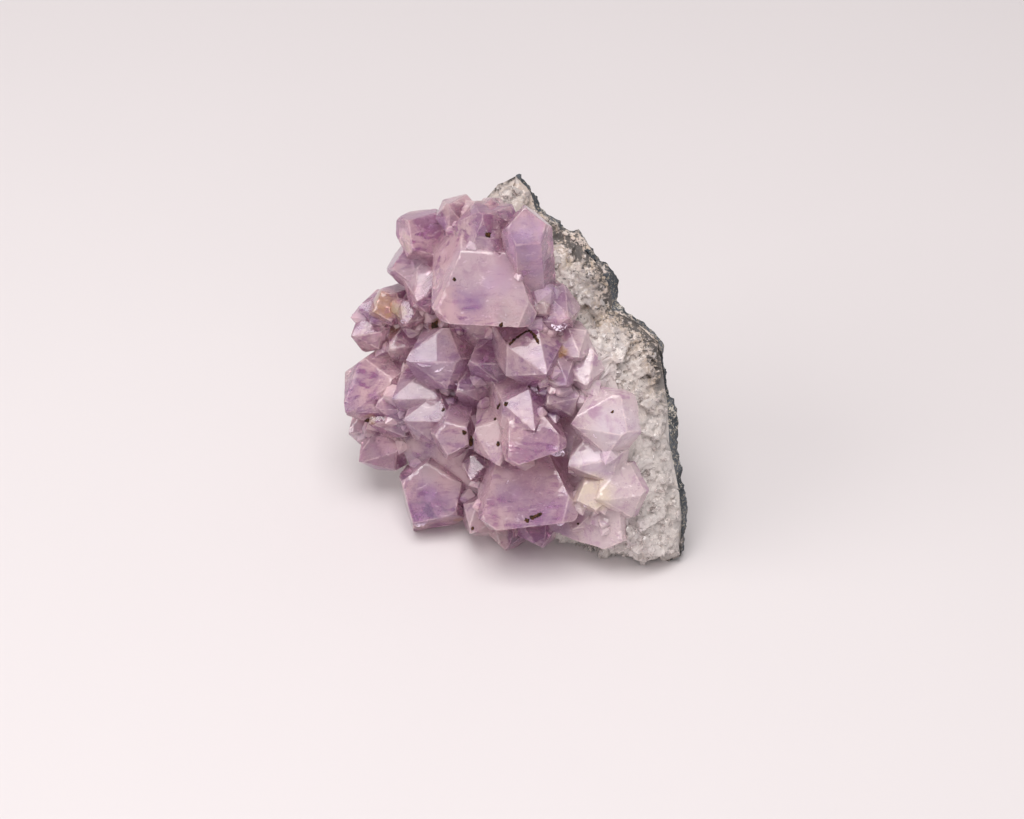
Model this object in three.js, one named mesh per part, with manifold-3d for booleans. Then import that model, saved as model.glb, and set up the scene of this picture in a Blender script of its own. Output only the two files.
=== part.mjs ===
// An amethyst cluster: a broken piece of geode wall, standing on its lower edge.
//
// From the back to the front it has three layers: a thin rind of dark basalt, a band of pale
// granular quartz, and a druse of amethyst points that have grown into one another.
// Units are millimetres, +Z is up, and the origin is under the middle of the bounding box.
//
// The layers are built in the face frame, in which the druse is looked at squarely: x runs to
// the right, y up the face and z out of it. The whole cluster is then tipped back by FACE_TILT.
import * as THREE from "three";
import { ConvexGeometry } from "three/addons/geometries/ConvexGeometry.js";
import { LoftGeometry } from "three/addons/geometries/LoftGeometry.js";
import { mergeVertices } from "three/addons/utils/BufferGeometryUtils.js";
import Module from "manifold-3d";

// Driving dimensions.
const FACE_TILT = 50; // degrees from lying flat to the angle the druse faces
const GROWTH = new THREE.Vector3(-0.45, -0.3, 0.84).normalize(); // out of the wall, face frame
const WALL_OFFSET = -3.87; // distance of the wall's back plane along GROWTH
const RIND_THICKNESS = 2.6;
const QUARTZ_TOP = 13; // height of the quartz band above the back plane
const ROOT_TOP = 15.5; // height of the layer that joins the crystals' roots
const ROOT_DEPTH = 11; // height that the crystals start from
const GAP = 0.3; // clearance between neighbouring solids
const CLEARED_DEPTH = 20; // how far behind the back plane the space cleared of amethyst starts
const FLOOR_DROP = 29.9; // the floor's distance below the face frame's origin
const FACET_ANGLE = 51.8; // between a quartz crystal's axis and the normal of its end faces

const DEG = Math.PI / 180;

// The sections of each layer: height above the back plane, and how far the outline is drawn in.
const RIND_LEVELS = [
  [0, 0.8],
  [0.8, 0],
  [RIND_THICKNESS, 0.4],
];
const QUARTZ_LEVELS = [
  [RIND_THICKNESS, 0.9],
  [7, 3],
  [QUARTZ_TOP - 2.5, 6.5],
  [QUARTZ_TOP, 9.5],
];
const ROOT_LEVELS = [
  [QUARTZ_TOP - 4, 8.5],
  [ROOT_TOP, 10],
];

// The broken outline of the wall, seen along z, with the extra thickness of its back there.
const OUTLINE = [
  [35.4, -38.2, 0],
  [35.6, -31, 0],
  [35, -25, 0],
  [33.4, -17, 0],
  [32.6, -8, 0],
  [31.4, 0, 0],
  [30.6, 5, 0],
  [26, 9.6, 0],
  [21.4, 12.4, 0],
  [20.8, 16.5, 0],
  [19, 20.6, 0],
  [13.8, 26, 0],
  [8.4, 29.8, 0],
  [5.4, 32.4, 0],
  [4.2, 36.4, 0],
  [1.4, 39.4, 0],
  [-2, 37.8, 0],
  [-4.6, 35, 1],
  [-9, 31.5, 2],
  [-15, 28, 3],
  [-20, 22, 4],
  [-25, 13, 6],
  [-28, 3, 8],
  [-28, -8, 9],
  [-24, -19, 10],
  [-18, -29, 10],
  [-8, -34.5, 9],
  [4, -36, 7],
  [16, -37.2, 4],
  [24, -39.2, 1],
  [31, -40.6, 0],
];

// Crystals: where the tip is in x and y, its height above the back plane, the radius to a side,
// the direction that it leans towards and how far from z it leans, and its twist, in degrees.
// The habit says how far each of the six end faces stands back, as a share of the radius.
const REGULAR = [0, 0.02, 0.01, 0.03, 0, 0.02];
const POINT = [0, 0.1, 0.03, 0.12, 0.05, 0.08];
const TRIGONAL = [0, 0.35, 0.02, 0.35, 0.04, 0.35];
const CHISEL = [0, 0.6, 0.5, 0, 0.6, 0.5];
const CRYSTALS = [
  // the upper left rim
  [-21, 28.6, 21, 5, 140, 30, 10, TRIGONAL],
  [-24.5, 19.6, 21, 5.2, 190, 42, 0, TRIGONAL],
  [-19.5, 13, 23, 4.8, 230, 30, 20, POINT],
  [-14, 20, 18, 4, 200, 30, 30, POINT],
  [-31.8, 12, 18, 4.2, 170, 50, 20, POINT],
  [-28.6, 11, 21.5, 3.5, 200, 38, 0, TRIGONAL],
  [-22, 8.5, 21, 3, 250, 30, 10, POINT],
  [-33.3, 6.4, 20, 3.9, 190, 46, 30, POINT],
  [-25.5, 3.4, 20, 4.4, 200, 34, 20, POINT],
  // the crown
  [-12.8, 31.6, 20, 4, 130, 26, 30, POINT],
  [-6, 29, 25, 6.2, 110, 22, 32, POINT],
  [2, 30, 24, 4.3, 95, 46, 0, TRIGONAL],
  [-4.5, 32.4, 18, 3.4, 90, 35, 0, POINT],
  // the great crystal
  [-6, 7.4, 30, 9, 270, 46, -4, CHISEL],
  // the hollow in the middle
  [-17, 6.5, 18, 4.4, 240, 30, 20, POINT],
  [-21.5, 1.2, 25, 6.2, 182, 48, 28, POINT],
  [-8.8, 1, 21, 7, 180, 38, 30, POINT],
  [-11.5, -5, 21, 5.4, 200, 35, 20, POINT],
  [6.2, -2, 25, 6, 302, 32, 0, REGULAR],
  [3.9, -13, 25, 5, 298, 34, 0, REGULAR],
  [-3.2, -20, 25, 5.4, 265, 44, 30, POINT],
  // the left side
  [-34.6, -9.3, 25, 6.8, 216, 54, 28, POINT],
  [-24.8, -6.8, 25, 5.5, 192, 42, 14, REGULAR],
  [-28.3, -8.3, 23, 4.6, 192, 46, 10, POINT],
  [-22.4, -11.1, 25.5, 5.4, 190, 42, 14, REGULAR],
  [-29.8, -11.5, 22, 5, 200, 50, 20, POINT],
  [-34.4, -13.6, 18, 4.2, 200, 46, 20, POINT],
  [-32.2, -19.4, 20, 5, 210, 52, 10, POINT],
  // the lower edge
  [-20.8, -32, 24, 7.4, 232, 44, 10, TRIGONAL],
  [-13.5, -18, 26, 4, 255, 42, 0, TRIGONAL],
  [-9, -23, 22, 3, 240, 40, 10, POINT],
  [-9, -34, 22, 4.2, 232, 44, 0, POINT],
  [3, -32.4, 26, 9, 272, 40, 6, CHISEL],
  [-2, -37.4, 19, 5, 262, 46, 10, POINT],
  [5.5, -36.8, 18, 4.4, 280, 46, 10, POINT],
  [4.8, -18.6, 26, 5.6, 289, 40, 0, CHISEL],
  // the pale crystals along the broken edge
  [11.4, -11.6, 22, 6.4, 185, 50, 8, POINT],
  [10.8, -20, 21, 6, 200, 50, 20, POINT],
  [16.6, -26.4, 20, 5.6, 200, 38, 10, POINT],
  [12.5, -27, 21, 3.6, 200, 40, 0, TRIGONAL],
  [11.5, -33, 18, 4.6, 230, 44, 20, POINT],
  [17.5, -32.4, 17, 4, 240, 34, 20, POINT],
  [6.5, -7.5, 22, 4, 200, 30, 20, POINT],
  [10, -4, 21, 4.6, 300, 30, 20, POINT],
  [14, -4, 18, 4.6, 280, 30, 0, POINT],
  [12.5, 1.5, 18, 4, 300, 30, 20, POINT],
  [10.5, 9, 19, 5, 330, 30, 10, POINT],
  [6, 10, 21, 3.2, 300, 30, 10, POINT],
];

// The basalt and quartz are lofts: the outline, carried out along GROWTH and drawn in as it goes.
function wallPoint([x, y, bulge], height, inset) {
  const fromMiddle = Math.hypot(x, y);
  const kept = 1 - inset / fromMiddle;
  const [px, py] = [x * kept, y * kept];
  const z =
    (WALL_OFFSET - GROWTH.x * px - GROWTH.y * py) / GROWTH.z -
    bulge * Math.max(0, 1 - height / RIND_THICKNESS);
  return new THREE.Vector3(px, py, z).addScaledVector(GROWTH, height);
}

function wallLoft(levels) {
  const sections = levels.map(([height, inset]) =>
    OUTLINE.map((corner) => wallPoint(corner, height, inset)),
  );
  return new LoftGeometry(sections, { capStart: true, capEnd: true });
}

// The end faces and sides of a crystal as planes: points p inside have normal . p <= distance.
function crystalPlanes(radius, length, habit) {
  const up = Math.cos(FACET_ANGLE * DEG);
  const across = Math.sin(FACET_ANGLE * DEG);
  const planes = [{ normal: new THREE.Vector3(0, 0, -1), distance: length }];
  habit.forEach((standsBack, k) => {
    const turn = k * 60 * DEG;
    const [c, s] = [Math.cos(turn), Math.sin(turn)];
    planes.push({ normal: new THREE.Vector3(c * across, s * across, up), distance: standsBack * radius });
    planes.push({ normal: new THREE.Vector3(c, s, 0), distance: radius });
  });
  return planes;
}

// Where three planes meet, if that is inside all the others.
function cornersOf(planes) {
  const corners = [];
  const m = new THREE.Matrix3();
  planes.forEach((a, i) =>
    planes.slice(i + 1).forEach((b, j) =>
      planes.slice(i + j + 2).forEach((c) => {
        m.set(...a.normal, ...b.normal, ...c.normal);
        if (Math.abs(m.determinant()) < 1e-6) return;
        const p = new THREE.Vector3(a.distance, b.distance, c.distance).applyMatrix3(m.invert());
        if (planes.some((q) => q.normal.dot(p) > q.distance + 1e-6)) return;
        if (!corners.some((other) => other.distanceTo(p) < 1e-4)) corners.push(p);
      }),
    ),
  );
  return corners;
}

function crystalGeometry([x, y, height, radius, towards, lean, twist, habit]) {
  const tip = new THREE.Vector3(x, y, (WALL_OFFSET + height - GROWTH.x * x - GROWTH.y * y) / GROWTH.z);
  const axis = new THREE.Vector3(
    Math.sin(lean * DEG) * Math.cos(towards * DEG),
    Math.sin(lean * DEG) * Math.sin(towards * DEG),
    Math.cos(lean * DEG),
  );
  // With no twist, one end face is turned as squarely to z as the lean allows.
  const facing = new THREE.Vector3(0, 0, 1).addScaledVector(axis, -axis.z).normalize();
  facing.applyAxisAngle(axis, twist * DEG);
  const side = new THREE.Vector3().crossVectors(axis, facing);
  const length = Math.max(radius, (height - ROOT_DEPTH) / Math.max(axis.dot(GROWTH), 0.5));
  const place = new THREE.Matrix4().makeBasis(facing, side, axis).setPosition(tip);
  return new ConvexGeometry(cornersOf(crystalPlanes(radius, length, habit))).applyMatrix4(place);
}

const wasm = await Module();
wasm.setup();

function solidOf(geometry) {
  const bare = new THREE.BufferGeometry().setAttribute("position", geometry.getAttribute("position"));
  if (geometry.index) bare.setIndex(geometry.index);
  const merged = mergeVertices(bare, 1e-4);
  return new wasm.Manifold(
    new wasm.Mesh({
      numProp: 3,
      vertProperties: merged.getAttribute("position").array,
      triVerts: new Uint32Array(merged.index.array),
    }),
  );
}

// The largest shell: it drops the hollows sealed inside the mass and any crumb cut loose.
function outerShell(solid) {
  return solid.decompose().reduce((most, shell) => (shell.volume() > most.volume() ? shell : most));
}

function geometryOf(solid) {
  const mesh = solid.getMesh();
  return new THREE.BufferGeometry()
    .setAttribute("position", new THREE.BufferAttribute(mesh.vertProperties, 3))
    .setIndex(new THREE.BufferAttribute(mesh.triVerts, 1));
}

// Everything below the floor, as a slab in the face frame.
function belowFloor() {
  const size = 200;
  const tilt = new THREE.Euler(-FACE_TILT * DEG, 0, 0);
  const slab = new THREE.BoxGeometry(size, size, size);
  slab.translate(0, 0, -FLOOR_DROP - size / 2);
  return solidOf(slab.applyMatrix4(new THREE.Matrix4().makeRotationFromEuler(tilt)));
}

const floor = belowFloor();
const rind = solidOf(wallLoft(RIND_LEVELS)).subtract(floor);
const quartz = solidOf(
  wallLoft(QUARTZ_LEVELS.map(([height, inset], i) => [height + (i === 0 ? GAP : 0), inset])),
).subtract(floor);

// The amethyst keeps clear of the quartz and of everything behind it.
const cleared = solidOf(
  wallLoft(
    QUARTZ_LEVELS.map(([height, inset], i) => [i === 0 ? -CLEARED_DEPTH : height + GAP, inset - GAP]),
  ),
);
const grownTogether = CRYSTALS.map((crystal) => solidOf(crystalGeometry(crystal))).reduce(
  (joined, crystal) => joined.add(crystal),
  solidOf(wallLoft(ROOT_LEVELS)),
);
const druse = outerShell(grownTogether.subtract(cleared).subtract(floor));

const MATERIALS = {
  basalt_rind: new THREE.MeshStandardMaterial({ color: 0x4b4d4e, roughness: 0.9, metalness: 0 }),
  quartz_band: new THREE.MeshStandardMaterial({ color: 0xd9d3d0, roughness: 0.55, metalness: 0 }),
  amethyst_druse: new THREE.MeshStandardMaterial({ color: 0xb28bbd, roughness: 0.15, metalness: 0 }),
};

const pieces = new THREE.Group();
for (const [name, solid] of Object.entries({
  basalt_rind: rind,
  quartz_band: quartz,
  amethyst_druse: druse,
})) {
  const mesh = new THREE.Mesh(geometryOf(solid), MATERIALS[name]);
  mesh.name = name;
  pieces.add(mesh);
}
pieces.rotation.x = FACE_TILT * DEG;

const cluster = new THREE.Group();
cluster.add(pieces);
const box = new THREE.Box3().setFromObject(cluster, true);
const middle = box.getCenter(new THREE.Vector3());
pieces.position.set(-middle.x, -middle.y, -box.min.z);

export default cluster;
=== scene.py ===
"""Grows the fine surfaces of an amethyst cluster over its solid frame, and sets it on a pale studio floor.

The cluster is a broken piece of geode wall. From the back to the front it is a rind of dark basalt, a band
of granular quartz, and a druse of amethyst points. Each layer is a refined copy of its solid, and smaller
growth, grains, flecks and healed cracks are meshes of their own. Everything is in metres, +Z up.
"""

import math
import random
from itertools import combinations

import bmesh
import bpy
from mathutils import Matrix, Vector, noise
from mathutils.bvhtree import BVHTree


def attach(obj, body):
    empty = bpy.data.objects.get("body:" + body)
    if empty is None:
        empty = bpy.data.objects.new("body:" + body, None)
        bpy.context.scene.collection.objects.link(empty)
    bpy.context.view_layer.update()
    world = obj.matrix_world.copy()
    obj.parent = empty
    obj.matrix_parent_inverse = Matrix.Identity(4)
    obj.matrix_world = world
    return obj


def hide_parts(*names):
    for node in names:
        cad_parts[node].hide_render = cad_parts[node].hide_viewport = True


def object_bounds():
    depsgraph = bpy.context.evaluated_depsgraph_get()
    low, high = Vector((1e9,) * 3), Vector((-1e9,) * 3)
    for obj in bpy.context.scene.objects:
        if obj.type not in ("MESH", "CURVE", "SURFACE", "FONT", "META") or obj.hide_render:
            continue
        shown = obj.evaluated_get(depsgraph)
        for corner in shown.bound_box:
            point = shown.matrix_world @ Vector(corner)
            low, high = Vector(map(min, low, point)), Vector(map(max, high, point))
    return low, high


bl_info = {
    "name": "Amethyst Cluster",
    "version": (1, 0, 0),
    "blender": (4, 5, 0),
    "location": "View3D > Sidebar > Amethyst",
    "description": "Grows the fine surfaces of an amethyst cluster over its solid frame",
    "category": "Object",
}

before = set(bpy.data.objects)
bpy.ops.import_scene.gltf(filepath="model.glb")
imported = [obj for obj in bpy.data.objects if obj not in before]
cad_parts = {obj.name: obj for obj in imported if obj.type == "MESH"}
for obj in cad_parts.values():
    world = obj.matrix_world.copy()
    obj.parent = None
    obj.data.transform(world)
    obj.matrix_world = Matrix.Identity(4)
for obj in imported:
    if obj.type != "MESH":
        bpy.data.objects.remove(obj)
SOLID_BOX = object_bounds()
LOW, HIGH = (Vector(corner) for corner in SOLID_BOX)

MM = 0.001
WELD = 0.01 * MM
FLAT = math.radians(0.6)  # edges flatter than this lie inside a facet
FACET_COSINE = math.cos(math.radians(51.8))  # between a quartz crystal's axis and an end face's normal

# The druse's face frame: x to the right, y up the face and z out of it.
FACE_TILT = math.radians(50)
FACE_RIGHT = Vector((1, 0, 0))
FACE_UP = Vector((0, math.cos(FACE_TILT), math.sin(FACE_TILT)))
FACE_OUT = Vector((0, -math.sin(FACE_TILT), math.cos(FACE_TILT)))
FACE_ORIGIN = Vector(((LOW.x + HIGH.x) / 2, LOW.y + 33.5 * MM, LOW.z + 29.9 * MM))
GROWTH = (-0.45 * FACE_RIGHT - 0.3 * FACE_UP + 0.84 * FACE_OUT).normalized()
BACK_PLANE = -3.87 * MM  # the wall's back plane, along GROWTH from the face frame's origin
QUARTZ_TOP = 13.4 * MM  # how high the quartz and its clearance reach above the back plane

# The camera looks squarely at the face.
VIEW_AIM = FACE_ORIGIN - 0.6 * MM * FACE_RIGHT - 8.9 * MM * FACE_UP
VIEW_DISTANCE = 585 * MM
VIEW_LENS = 100
COVERED = 0.6 * MM  # surfaces this close to another solid are hidden
REFINING_ROUNDS = 8
MIDDLE_DEPTH = 15 * MM  # how far out of the face the crystals' surfaces mostly are


def face_point(x, y, z):
    """A place in the face frame, given in millimetres."""
    return FACE_ORIGIN + (x * FACE_RIGHT + y * FACE_UP + z * FACE_OUT) * MM


def height_above_back(point):
    """How far a point stands above the wall's back plane."""
    return (point - FACE_ORIGIN).dot(GROWTH) - BACK_PLANE


def skin_of(*meshes):
    """A tree for finding places on surfaces."""
    bm = bmesh.new()
    for mesh in meshes:
        bm.from_mesh(mesh)
    tree = BVHTree.FromBMesh(bm)
    bm.free()
    return tree


def sight(x, y):
    """The line of sight through x and y, in millimetres at the middle depth: its start and its direction."""
    eye = VIEW_AIM + FACE_OUT * VIEW_DISTANCE
    return eye, (face_point(x, y, MIDDLE_DEPTH / MM) - eye).normalized()


def seen_at(skin, x, y):
    """Where the line of sight through x and y meets the surface, and the normal there."""
    place, normal, _, _ = skin.ray_cast(*sight(x, y))
    return place, normal


# Settings ---------------------------------------------------------------------------------------------


class AmethystSettings(bpy.types.PropertyGroup):
    """Sizes and colours of the purple points."""

    mesh_size: bpy.props.FloatProperty(
        name="Mesh size", description="Longest edge inside a facet", default=1.3 * MM, unit="LENGTH"
    )
    rim_size: bpy.props.FloatProperty(
        name="Rim mesh size",
        description="Longest edge beside a crystal's edges",
        default=0.6 * MM,
        unit="LENGTH",
    )
    relief: bpy.props.FloatProperty(
        name="Relief", description="Height of the waves on a facet", default=0.018 * MM, unit="LENGTH"
    )
    small_points: bpy.props.IntProperty(
        name="Small points", description="How many grow in the valleys", default=100
    )
    veils: bpy.props.IntProperty(name="Healed cracks", description="How many are tried", default=60)
    tip_colour: bpy.props.FloatVectorProperty(
        name="Tip colour",
        description="Colour near the tips",
        subtype="COLOR",
        size=3,
        default=(0.47, 0.20, 0.42),
    )
    body_colour: bpy.props.FloatVectorProperty(
        name="Body colour",
        description="Colour of the bodies",
        subtype="COLOR",
        size=3,
        default=(1.0, 0.73, 0.77),
    )
    root_colour: bpy.props.FloatVectorProperty(
        name="Root colour",
        description="Colour by the quartz",
        subtype="COLOR",
        size=3,
        default=(0.84, 0.69, 0.72),
    )


class QuartzSettings(bpy.types.PropertyGroup):
    """Sizes and colours of the granular quartz."""

    mesh_size: bpy.props.FloatProperty(
        name="Mesh size", description="Longest edge of the band's surface", default=0.36 * MM, unit="LENGTH"
    )
    chunk: bpy.props.FloatProperty(
        name="Chunk size", description="Width of the broken chunks", default=4.2 * MM, unit="LENGTH"
    )
    grain: bpy.props.FloatProperty(
        name="Grain size", description="Width of the grains", default=1.5 * MM, unit="LENGTH"
    )
    grains: bpy.props.IntProperty(name="Grains", description="How many glassy grains lie on it", default=420)
    colour: bpy.props.FloatVectorProperty(
        name="Colour",
        description="Colour of the clean quartz",
        subtype="COLOR",
        size=3,
        default=(0.70, 0.585, 0.525),
    )


class BasaltSettings(bpy.types.PropertyGroup):
    """Sizes and colours of the basalt rind."""

    mesh_size: bpy.props.FloatProperty(
        name="Mesh size", description="Longest edge of the rind's surface", default=0.75 * MM, unit="LENGTH"
    )
    colour: bpy.props.FloatVectorProperty(
        name="Colour",
        description="Colour of the clean basalt",
        subtype="COLOR",
        size=3,
        default=(0.05, 0.056, 0.065),
    )


# Shader maths -----------------------------------------------------------------------------------------

MIX_FACTOR, MIX_FIRST, MIX_SECOND, MIXED_COLOUR = 0, 6, 7, 2  # a colour Mix node's sockets


class Value:
    """A node's output that takes part in arithmetic. Each operation adds its Math node."""

    def __init__(self, finish, socket):
        self.finish = finish
        self.socket = socket

    def maths(self, operation, *numbers):
        return self.finish.add("ShaderNodeMath", {"operation": operation}, dict(enumerate(numbers)))

    def __add__(self, other):
        return self.maths("ADD", self, other)

    def __mul__(self, other):
        return self.maths("MULTIPLY", self, other)

    def __sub__(self, other):
        return self.maths("SUBTRACT", self, other)

    def __rsub__(self, other):
        return self.maths("SUBTRACT", other, self)

    __radd__ = __add__
    __rmul__ = __mul__

    def rise(self, start, end):
        """0 below start and 1 above end, with an eased step between; falling where end is the lower."""
        return self.finish.add(
            "ShaderNodeMapRange",
            {"interpolation_type": "SMOOTHSTEP"},
            {"Value": self, "From Min": start, "From Max": end},
        )


class Finish:
    """A material made of nodes, on the piece's own Object coordinates in millimetres."""

    def __init__(self, name):
        self.material = bpy.data.materials.new(name)
        self.material.use_nodes = True
        self.tree = self.material.node_tree
        self.tree.nodes.clear()
        self.output = self.tree.nodes.new("ShaderNodeOutputMaterial")
        coordinates = self.add("ShaderNodeTexCoord", output="Object")
        self.place = self.add(
            "ShaderNodeVectorMath", {"operation": "SCALE"}, {"Vector": coordinates, "Scale": 1 / MM}
        )

    def add(self, kind, settings=None, sockets=None, output=0):
        """Adds a node: its settings first, then its sockets' values or links. Gives one of its outputs."""
        node = self.tree.nodes.new(kind)
        for name, value in (settings or {}).items():
            setattr(node, name, value)
        for name, value in (sockets or {}).items():
            if isinstance(value, Value):
                self.tree.links.new(value.socket, node.inputs[name])
            else:
                node.inputs[name].default_value = value
        return Value(self, node.outputs[output])

    def noise(self, size, detail=3.0, roughness=0.55, distortion=0.0, at=None):
        """Cloudy noise from 0 to 1, with features of about size millimetres."""
        return self.add(
            "ShaderNodeTexNoise",
            None,
            {
                "Vector": at or self.place,
                "Scale": 1 / size,
                "Detail": detail,
                "Roughness": roughness,
                "Distortion": distortion,
            },
        )

    def stretched(self, direction, factor):
        """The place, squeezed along a direction, so that noise there is drawn out along it."""
        turn = Vector(direction).rotation_difference(Vector((1, 0, 0))).to_euler()
        return self.add(
            "ShaderNodeMapping",
            {"vector_type": "POINT"},
            {"Vector": self.place, "Rotation": tuple(turn), "Scale": (1 / factor, 1, 1)},
        )

    def cells(self, size, output="Distance"):
        """Voronoi cells of about size millimetres."""
        return self.add("ShaderNodeTexVoronoi", None, {"Vector": self.place, "Scale": 1 / size}, output)

    def attribute(self, name):
        """A number that the piece's mesh carries on its face corners."""
        return self.add("ShaderNodeAttribute", {"attribute_name": name}, None, "Fac")

    def mix(self, share, first, second):
        """A colour between two colours or colour links."""
        first, second = (c if isinstance(c, Value) else (*c, 1) for c in (first, second))
        sockets = {MIX_FACTOR: share, MIX_FIRST: first, MIX_SECOND: second}
        return self.add("ShaderNodeMix", {"data_type": "RGBA"}, sockets, MIXED_COLOUR)

    def distance(self, centre):
        """The distance in millimetres from centre, a point in metres."""
        sockets = {0: self.place, 1: tuple(centre / MM)}
        return self.add("ShaderNodeVectorMath", {"operation": "DISTANCE"}, sockets, "Value")

    def near(self, centre, radius, softness):
        """1 inside a ball about centre, a point in metres, and 0 outside it. Sizes are in millimetres."""
        return self.distance(centre).rise(radius + softness, radius)

    def along(self, direction, origin):
        """The distance in millimetres from origin, a point in metres, along a direction."""
        sockets = {0: self.place, 1: tuple(direction)}
        dot = self.add("ShaderNodeVectorMath", {"operation": "DOT_PRODUCT"}, sockets, "Value")
        return dot - origin.dot(direction) / MM

    def bump(self, height, depth, below=None):
        """A normal pushed by height, which is worth depth millimetres at 1."""
        sockets = {"Height": height, "Distance": depth * MM, "Strength": 1.0}
        if below:
            sockets["Normal"] = below
        return self.add("ShaderNodeBump", None, sockets)

    def shader(self, sockets):
        return self.add("ShaderNodeBsdfPrincipled", None, sockets)

    def surface(self, shader, absorption=None):
        """Ends the material in a shader, and in plain absorption if it is given."""
        self.tree.links.new(shader.socket, self.output.inputs["Surface"])
        if absorption:
            colour, density = absorption
            volume = self.add("ShaderNodeVolumeAbsorption", None, {"Color": (*colour, 1), "Density": density})
            self.tree.links.new(volume.socket, self.output.inputs["Volume"])
        return self.material


# Materials --------------------------------------------------------------------------------------------

QUARTZ_IOR = 1.544
# Tints of single crystals: x and y in the face frame, the radius in millimetres, how strong and what colour.
TINTS = [
    (1.8, 24.0, 5.5, 0.65, (0.66, 0.46, 0.76)),
    (6.5, 17.0, 4.5, 0.5, (0.72, 0.56, 0.78)),
    (-9.0, 14.0, 3.5, 0.5, (0.50, 0.33, 0.64)),
    (-1.0, 12.0, 5.0, 0.75, (1.0, 0.83, 0.88)),
    (-8.5, 20.0, 5.0, 0.75, (1.0, 0.83, 0.88)),
    (-3.5, 16.5, 3.0, 0.5, (0.78, 0.58, 0.80)),
    (-15.8, 2.6, 4.0, 0.5, (0.80, 0.66, 0.80)),
    (-27.7, 2.9, 5.0, 0.5, (0.80, 0.55, 0.58)),
    (-19.5, -6.5, 3.8, 0.5, (0.92, 0.72, 0.80)),
    (-17.8, -27.5, 4.5, 0.6, (0.42, 0.22, 0.50)),
    (-17.0, -21.5, 2.5, 0.6, (0.90, 0.74, 0.80)),
    (5.0, -15.5, 4.0, 0.6, (0.40, 0.18, 0.42)),
    (-12.5, -17.0, 3.5, 0.5, (0.76, 0.58, 0.72)),
    (3.0, -26.0, 5.0, 0.6, (0.56, 0.34, 0.50)),
    (-9.5, -8.5, 4.0, 0.5, (0.50, 0.28, 0.42)),
    (-7.0, -31.5, 3.5, 0.6, (0.92, 0.74, 0.78)),
    (-20.5, 19.0, 3.5, 0.5, (0.86, 0.76, 0.84)),
    (21.0, -13.0, 5.0, 0.6, (0.92, 0.82, 0.90)),
    (17.0, -20.0, 3.5, 0.5, (0.80, 0.64, 0.80)),
    (5.8, 11.0, 1.9, 0.6, (0.98, 0.80, 0.72)),
    (-32.0, -13.4, 2.4, 0.7, (0.95, 0.80, 0.90)),
    (-26.2, -17.4, 4.0, 0.5, (0.60, 0.36, 0.44)),
    (-27.0, 11.8, 3.6, 0.8, (0.78, 0.47, 0.23)),
    (-23.4, 10.4, 1.8, 0.8, (0.66, 0.52, 0.36)),
    (-24.8, 6.4, 1.6, 0.8, (0.34, 0.15, 0.05)),
    (15.6, -26.0, 4.2, 0.75, (1.00, 0.86, 0.66)),
    (9.4, 2.6, 1.1, 0.8, (0.72, 0.42, 0.14)),
    (-11.3, -31.0, 1.1, 0.8, (0.70, 0.38, 0.12)),
    (-21.6, 24.4, 2.0, 0.6, (0.90, 0.74, 0.58)),
    (-29.2, -11.0, 1.3, 0.8, (0.50, 0.25, 0.10)),
    (-15.9, 8.2, 1.4, 0.8, (0.40, 0.17, 0.10)),
]


ABSORPTION = ((0.98, 0.73, 0.80), 30.0)  # the amethyst's colour for light inside it, and the density
MILKY = 0.12  # how much light the milky skin lets in
VIOLET = (0.54, 0.38, 0.64)
# Painted shade for the deep hollow in the middle of the face.
PLUM_SHADE = (0.24, 0.08, 0.15)
# Painted shade for the valleys between the crystals.
SHADE = (0.27, 0.09, 0.19)
MILK_WHITE = (1.0, 0.90, 0.92)
PALE_GRIT = (0.92, 0.70, 0.62)
DARK_GRIT = (0.34, 0.14, 0.26)
# The rims' pale colour, partly wear and partly painted highlight.
WORN_RIM_AND_HIGHLIGHT = (0.98, 0.80, 0.77)
ROOT_FADE = (15.3, 13.4)  # heights above the back plane between which the roots turn pale, in millimetres
BROKEN_SIDE = (9.0, 15.0)  # how far to the right, in millimetres, the crystals turn pale and broken


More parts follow.
